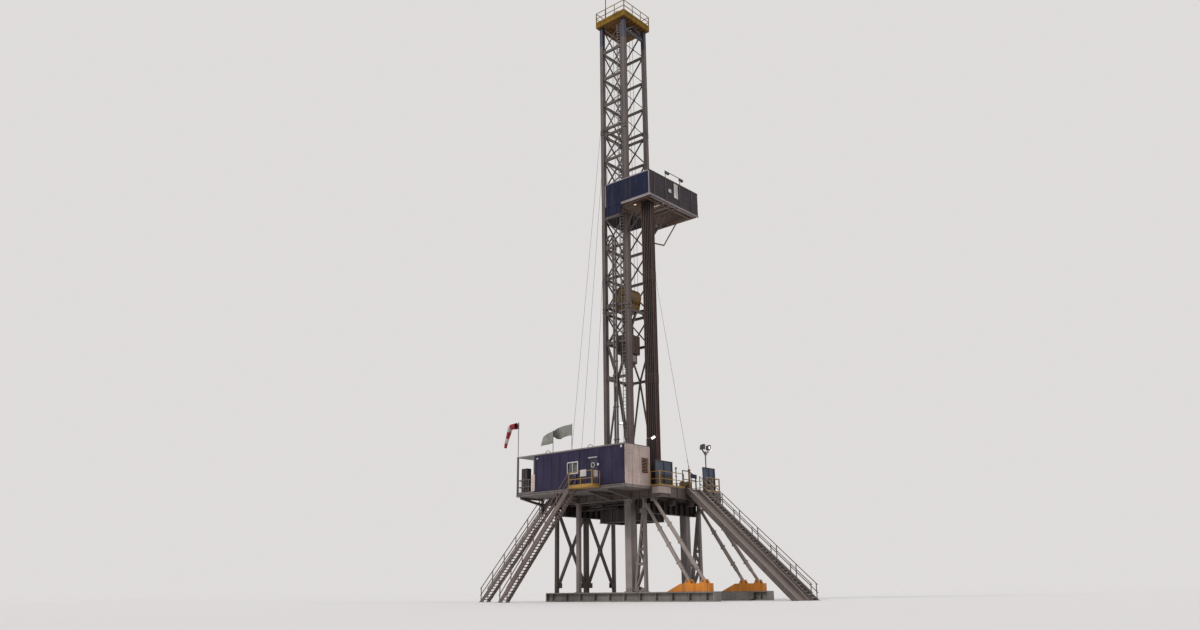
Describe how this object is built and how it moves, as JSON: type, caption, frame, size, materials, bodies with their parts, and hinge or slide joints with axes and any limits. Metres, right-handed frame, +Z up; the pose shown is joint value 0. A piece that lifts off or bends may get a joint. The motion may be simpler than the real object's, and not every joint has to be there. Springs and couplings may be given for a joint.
{
  "type": "scale model of a land drilling rig",
  "caption": "Land drilling rig at 1:2 scale: open-front lattice mast with crown, racking board and travelling block on a high floor with doghouse, pipe ramp and stairs.",
  "frame": {"origin": "centre of the well on the ground, below the rotary table", "axes": "+Z up along the mast, +X down the pipe ramp, the doghouse on the -Y side"},
  "size_m": [14.4915, 5.93, 27.911],
  "materials": {
    "structure_grey": "weathered grey paint",
    "column_grey": "light grey paint, dusty",
    "safety_yellow": "mustard yellow paint, chipped",
    "deck_plate": "worn grey paint on steel plate",
    "table_iron": "oiled iron with old red-brown paint",
    "navy_panel": "dark navy paint on ribbed sheet",
    "cream_panel": "cream paint",
    "roof_sheet": "blue-grey paint",
    "door_paint": "dark blue paint",
    "window_glass": "tinted pane",
    "tan_paint": "tan paint",
    "rail_grey": "grey paint",
    "blue_grey_panel": "blue-grey paint on sheet",
    "mast_grey": "weathered grey-beige paint",
    "board_brown": "brown paint, worn",
    "rusty_pipe": "dark rust",
    "wire_rope": "oiled steel wire",
    "flag_cloth": "pale grey-green cloth",
    "sock_cloth": "red cloth with white bands"
  },
  "bodies": {
    "root": {"base_beams": "structure_grey", "base_spreaders": "structure_grey", "strut_shoes": "safety_yellow", "front_columns": "column_grey", "middle_columns": "structure_grey", "lattice_legs": "structure_grey", "rear_frame": "structure_grey", "front_struts": "column_grey", "floor_girders": "structure_grey", "rotary_beams": "structure_grey", "floor_deck": "deck_plate", "rotary_table": "table_iron", "doghouse_floor": "deck_plate", "doghouse_side_wall": "navy_panel", "doghouse_inner_wall": "navy_panel", "doghouse_end_walls": "cream_panel", "doghouse_roof": "roof_sheet", "doghouse_doors": "door_paint", "doghouse_window": "window_glass", "doghouse_louvre": "tan_paint", "doghouse_brackets": "structure_grey", "porch_frame": "rail_grey", "porch_rails": "rail_grey", "door_landing": "safety_yellow", "landing_rails": "safety_yellow", "front_rails": "safety_yellow", "back_rails": "safety_yellow", "wind_walls": "blue_grey_panel", "light_mast": "rail_grey", "side_stair_treads": "rail_grey", "side_stair_sides": "rail_grey", "back_stair_treads": "rail_grey", "back_stair_sides": "rail_grey", "pipe_ramp": "rail_grey", "ramp_stair_treads": "rail_grey", "ramp_stair_sides": "rail_grey", "mast_legs": "mast_grey", "mast_near_bracing": "mast_grey", "mast_back_bracing": "mast_grey", "mast_far_bracing": "mast_grey", "mast_portal": "mast_grey", "mast_ladder": "mast_grey", "standpipes": "mast_grey", "crown_frame": "safety_yellow", "crown_sheaves": "table_iron", "crown_rails": "safety_yellow", "board_deck": "board_brown", "board_fingers": "board_brown", "board_walls": "navy_panel", "board_struts": "mast_grey", "racked_pipe": "rusty_pipe", "tail_lines": "wire_rope", "roof_poles": "rail_grey", "flags": "flag_cloth", "line_winch": "safety_yellow"},
    "hoist": {"travelling_block": "safety_yellow", "top_drive": "tan_paint", "drilling_lines": "wire_rope"},
    "drill_string": {"drill_pipe": "rusty_pipe"},
    "windsock": {"windsock": "sock_cloth"}
  },
  "joints": [
    {"name": "block_hoist", "type": "slide", "parent": "root", "child": "hoist", "axis": [0, 0, 1], "range_m": [-4.2, 11.5], "deforming": ["drilling_lines"]},
    {"name": "pipe_spin", "type": "hinge", "parent": "hoist", "child": "drill_string", "pos_m": [0, 0, 6], "axis": [0, 0, 1], "continuous": true},
    {"name": "windsock_swivel", "type": "hinge", "parent": "root", "child": "windsock", "pos_m": [-3.105, -3.445, 6.9], "axis": [0, 0, 1], "continuous": true}
  ]
}
